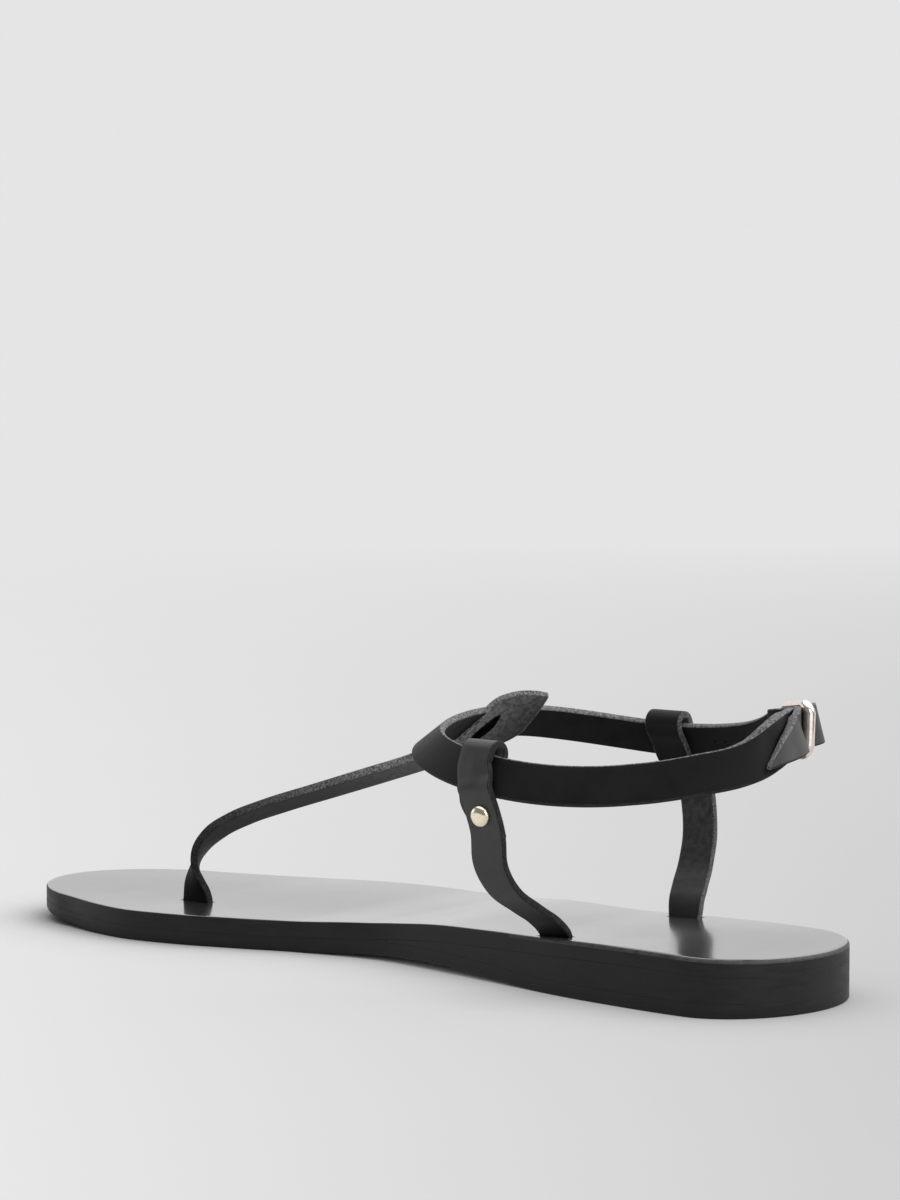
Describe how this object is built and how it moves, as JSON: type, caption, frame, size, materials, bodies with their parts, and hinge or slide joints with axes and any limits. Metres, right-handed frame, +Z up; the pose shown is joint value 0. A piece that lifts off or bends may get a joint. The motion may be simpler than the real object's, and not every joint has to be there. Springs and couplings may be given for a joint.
{
  "type": "thong sandal",
  "caption": "Flat black leather thong sandal for the right foot: a T-strap and side straps carry a buckled ankle strap on a thin sole with a low heel.",
  "frame": {"origin": "middle of the bounding box, on the floor under the sole", "axes": "+X to the toe, +Y to the inner side of the foot, +Z up"},
  "size_m": [0.25, 0.0962, 0.0715],
  "materials": {
    "sole_edge": "painted black edge, satin",
    "insole_leather": "glossy black",
    "strap_leather": "smooth black grain with rough cut edges",
    "pale_gold": "polished pale gold"
  },
  "bodies": {
    "root": {"outsole": "sole_edge", "heel_wedge": "sole_edge", "insole": "insole_leather", "upper": "strap_leather", "rivet_medial": "pale_gold", "rivet_lateral": "pale_gold", "buckle_frame": "pale_gold", "buckle_prong": "pale_gold"}
  },
  "joints": []
}
